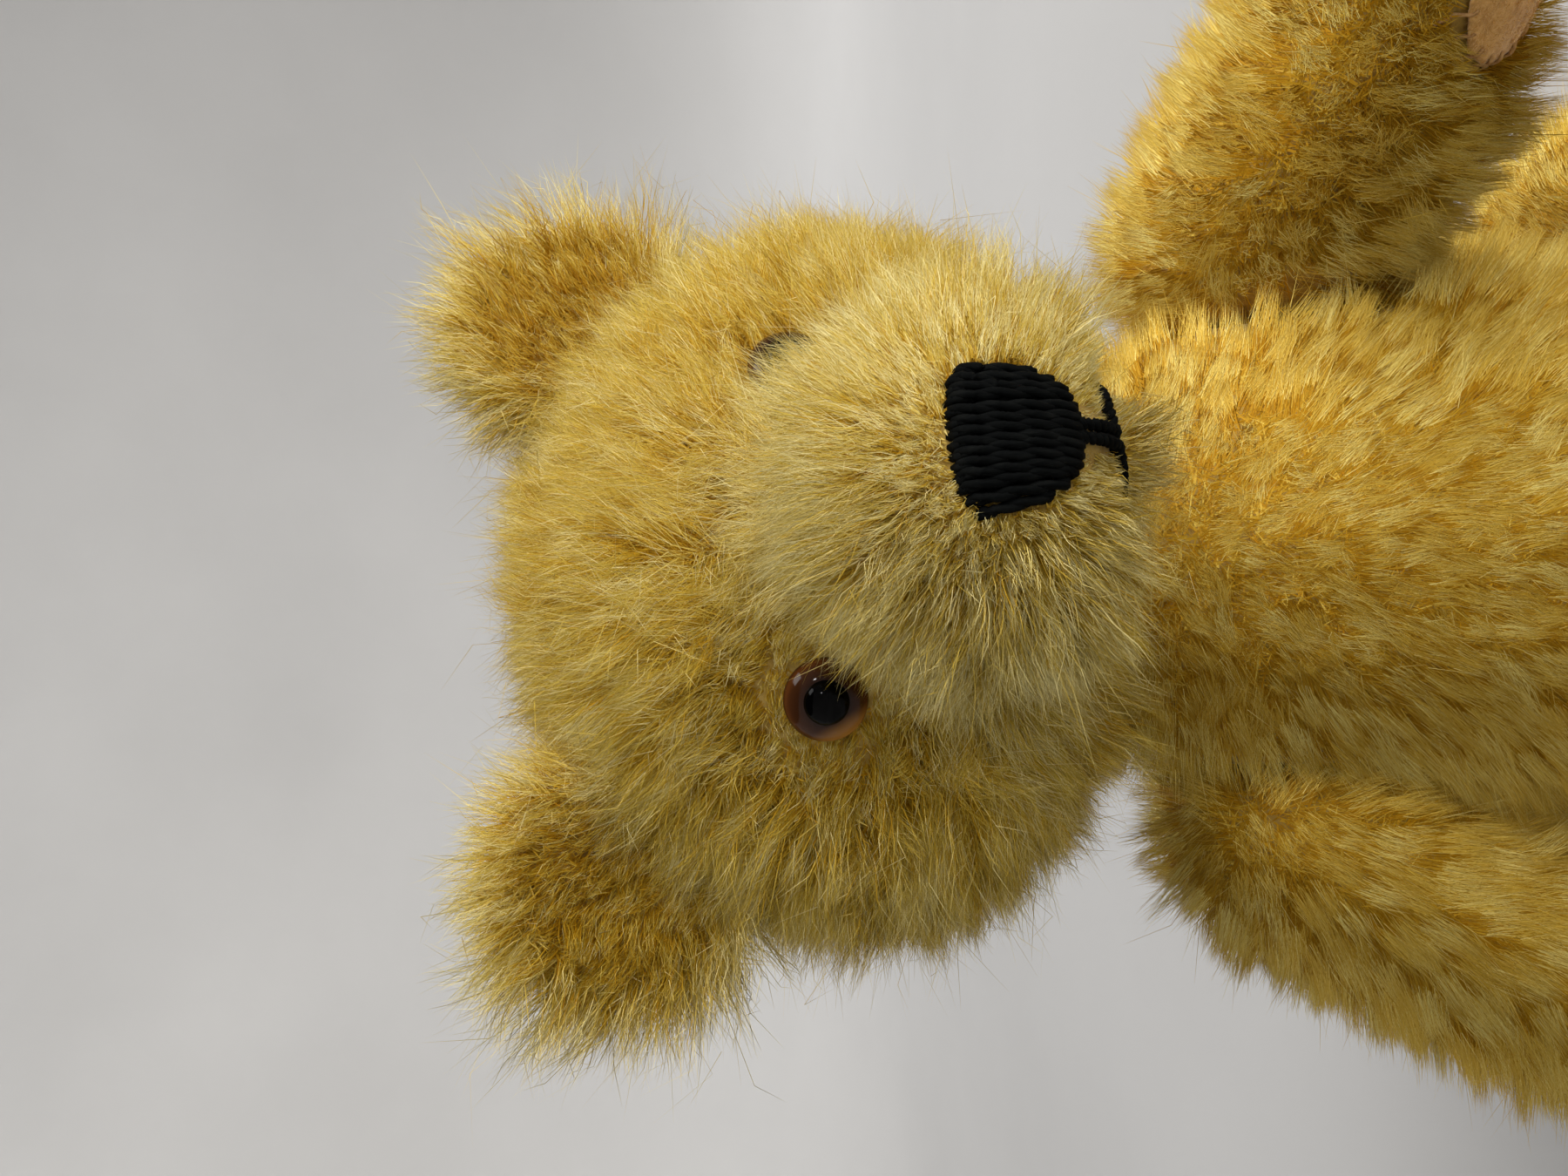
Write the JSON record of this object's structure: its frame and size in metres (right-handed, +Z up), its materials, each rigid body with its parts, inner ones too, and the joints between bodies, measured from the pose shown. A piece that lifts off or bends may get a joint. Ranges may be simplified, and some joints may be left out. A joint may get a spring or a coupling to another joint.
{
  "type": "jointed teddy bear",
  "caption": "Sitting mohair teddy bear with disc-jointed head, arms and legs, felt paw and foot pads, glass eyes and a stitched nose.",
  "frame": {"origin": "on the surface the bear sits on, at the middle of the flat seat under its torso, on the neck axis", "axes": "+Z up along the neck axis, -Y the way the torso faces, +X to the bear's own left"},
  "size_m": [0.2274, 0.1639, 0.2428],
  "materials": {
    "mohair": "golden long-pile mohair plush",
    "felt": "peach-tan wool felt",
    "yarn": "black cotton embroidery yarn",
    "eye_glass": "amber glass with a black pupil, glossy",
    "wood_wool": "packed wood wool stuffing",
    "fibreboard": "pressed fibreboard",
    "card": "stiff grey-brown card",
    "steel": "plain steel wire and washers"
  },
  "bodies": {
    "torso": {"torso_cover": "mohair", "torso_stuffing": "wood_wool", "neck_torso_disc": "fibreboard", "neck_torso_washer": "steel", "shoulder_torso_disc_left": "fibreboard", "shoulder_torso_disc_right": "fibreboard", "shoulder_torso_washer_left": "steel", "shoulder_torso_washer_right": "steel", "hip_torso_disc_left": "fibreboard", "hip_torso_disc_right": "fibreboard", "hip_torso_washer_left": "steel", "hip_torso_washer_right": "steel"},
    "head": {"head_cover": "mohair", "head_stuffing": "wood_wool", "ear_left": "mohair", "ear_right": "mohair", "eye_left": "eye_glass", "eye_right": "eye_glass", "eye_wire_left": "steel", "eye_wire_right": "steel", "nose_stitching": "yarn", "mouth_stitching": "yarn", "neck_head_disc": "fibreboard", "neck_head_washer": "steel", "neck_cotter_pin": "steel"},
    "arm_left": {"arm_cover_left": "mohair", "arm_stuffing_left": "wood_wool", "arm_paw_pad_left": "felt", "shoulder_arm_disc_left": "fibreboard", "shoulder_arm_washer_left": "steel", "shoulder_cotter_pin_left": "steel"},
    "arm_right": {"arm_cover_right": "mohair", "arm_stuffing_right": "wood_wool", "arm_paw_pad_right": "felt", "shoulder_arm_disc_right": "fibreboard", "shoulder_arm_washer_right": "steel", "shoulder_cotter_pin_right": "steel"},
    "leg_left": {"leg_cover_left": "mohair", "leg_stuffing_left": "wood_wool", "leg_insole_left": "card", "leg_sole_pad_left": "felt", "hip_leg_disc_left": "fibreboard", "hip_leg_washer_left": "steel", "hip_cotter_pin_left": "steel"},
    "leg_right": {"leg_cover_right": "mohair", "leg_stuffing_right": "wood_wool", "leg_insole_right": "card", "leg_sole_pad_right": "felt", "hip_leg_disc_right": "fibreboard", "hip_leg_washer_right": "steel", "hip_cotter_pin_right": "steel"}
  },
  "joints": [
    {"name": "neck", "type": "hinge", "parent": "torso", "child": "head", "pos_m": [0, 0, 0.1453], "axis": [0, 0, 1], "continuous": true},
    {"name": "shoulder_left", "type": "hinge", "parent": "torso", "child": "arm_left", "pos_m": [0.0398, 0, 0.102], "axis": [-1, 0, 0], "continuous": true},
    {"name": "shoulder_right", "type": "hinge", "parent": "torso", "child": "arm_right", "pos_m": [-0.0398, 0, 0.102], "axis": [-1, 0, 0], "continuous": true},
    {"name": "hip_left", "type": "hinge", "parent": "torso", "child": "leg_left", "pos_m": [0.0348, 0, 0.027], "axis": [-1, 0, 0], "range_deg": [-110, 12]},
    {"name": "hip_right", "type": "hinge", "parent": "torso", "child": "leg_right", "pos_m": [-0.0348, 0, 0.027], "axis": [-1, 0, 0], "range_deg": [-110, 12]}
  ]
}
